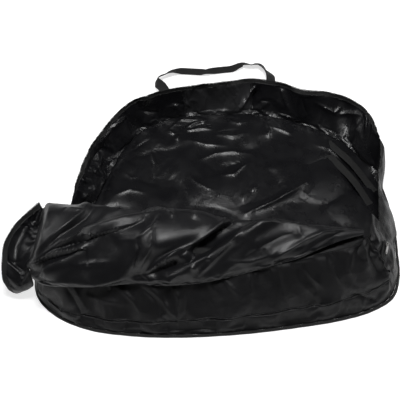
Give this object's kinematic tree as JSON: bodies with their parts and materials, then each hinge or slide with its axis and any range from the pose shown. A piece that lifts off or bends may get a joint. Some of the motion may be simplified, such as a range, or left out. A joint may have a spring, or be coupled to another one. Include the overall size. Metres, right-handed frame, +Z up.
{
  "type": "soft bike travel bag",
  "caption": "Black soft bag for one packed bicycle, lying open on its back with the front panel folded down, a zip round the rim and webbing carry handles.",
  "frame": {"origin": "middle of the bounding box, on the floor that the bag lies on", "axes": "+X along the bag's length to the right, +Y across it from the bottom gusset to the zipped rim with the carry handle, +Z up, out of the open bag"},
  "size_m": [1.234, 1.186, 0.2501],
  "materials": {
    "outer_nylon": "matte black nylon",
    "coated_nylon": "semi-gloss black coated side",
    "webbing": "matte black webbing",
    "zip_tape": "matte black tape",
    "zip_teeth": "black",
    "zip_metal": "nickel plated"
  },
  "bodies": {
    "bag_body": {"back_panel": "coated_nylon", "bottom_gusset": "outer_nylon", "bottom_seam_tape": "outer_nylon", "bottom_strip": "outer_nylon", "frame_strap_lower": "webbing", "frame_strap_upper": "webbing", "front_panel_root": "coated_nylon", "left_end_gusset": "outer_nylon", "panel_binding": "zip_tape", "rear_gusset_left": "coated_nylon", "rear_gusset_middle": "coated_nylon", "rear_gusset_right": "coated_nylon", "rear_handle_end_left": "webbing", "rear_handle_end_right": "webbing", "rear_zip_tape": "zip_tape", "rear_zip_teeth": "zip_teeth", "right_end_gusset": "outer_nylon", "zip_chain_left": "zip_tape", "zip_chain_right": "zip_tape", "zip_coil_left": "zip_teeth", "zip_coil_right": "zip_teeth", "zip_stop_left": "webbing", "zip_stop_right": "webbing"},
    "front_flap": {"front_panel": "coated_nylon", "front_gusset_left": "outer_nylon", "front_gusset_tucked": "outer_nylon", "front_zip_tape_left": "zip_tape", "front_zip_tape_tucked": "zip_tape", "front_zip_teeth_left": "zip_teeth", "front_zip_teeth_tucked": "zip_teeth", "front_handle_end_left": "webbing", "front_handle_end_right": "webbing"},
    "rear_handle": {"rear_handle": "webbing"},
    "front_handle": {"front_handle": "webbing"},
    "zip_slider_left": {"zip_slider_left": "zip_metal"},
    "zip_slider_right": {"zip_slider_right": "zip_metal"},
    "zip_pull_left": {"zip_pull_left": "zip_metal"},
    "zip_pull_right": {"zip_pull_right": "zip_metal"}
  },
  "joints": [
    {"name": "front_panel_fold", "type": "hinge", "parent": "bag_body", "child": "front_flap", "pos_m": [-0.02563, -0.28783, 0.18931], "axis": [-0.9931, 0.1165, -0.0137], "range_deg": [0, 120]},
    {"name": "rear_handle_lift", "type": "hinge", "parent": "bag_body", "child": "rear_handle", "pos_m": [-0.1252, 0.31552, 0.08218], "axis": [0.9959, 0.0898, -0.0148], "range_deg": [0, 80]},
    {"name": "front_handle_lift", "type": "hinge", "parent": "front_flap", "child": "front_handle", "pos_m": [-0.30987, -0.4321, 0.17505], "axis": [0.9997, 0.011, 0.0223], "range_deg": [-5, 2]},
    {"name": "zip_slide_right", "type": "slide", "parent": "bag_body", "child": "zip_slider_right", "axis": [-0.3305, -0.9429, -0.0419], "range_m": [0, 0.03]},
    {"name": "zip_pull_swing_right", "type": "hinge", "parent": "zip_slider_right", "child": "zip_pull_right", "pos_m": [0.53619, -0.35419, 0.13877], "axis": [-0.5791, 0.1675, 0.7978], "range_deg": [0, 120]},
    {"name": "zip_slide_left", "type": "slide", "parent": "bag_body", "child": "zip_slider_left", "axis": [0.039, -0.9989, 0.0246], "range_m": [0, 0.03]},
    {"name": "zip_pull_swing_left", "type": "hinge", "parent": "zip_slider_left", "child": "zip_pull_left", "pos_m": [-0.53141, -0.33401, 0.09236], "axis": [-0.333, -0.0362, -0.9422], "range_deg": [0, 20]}
  ]
}
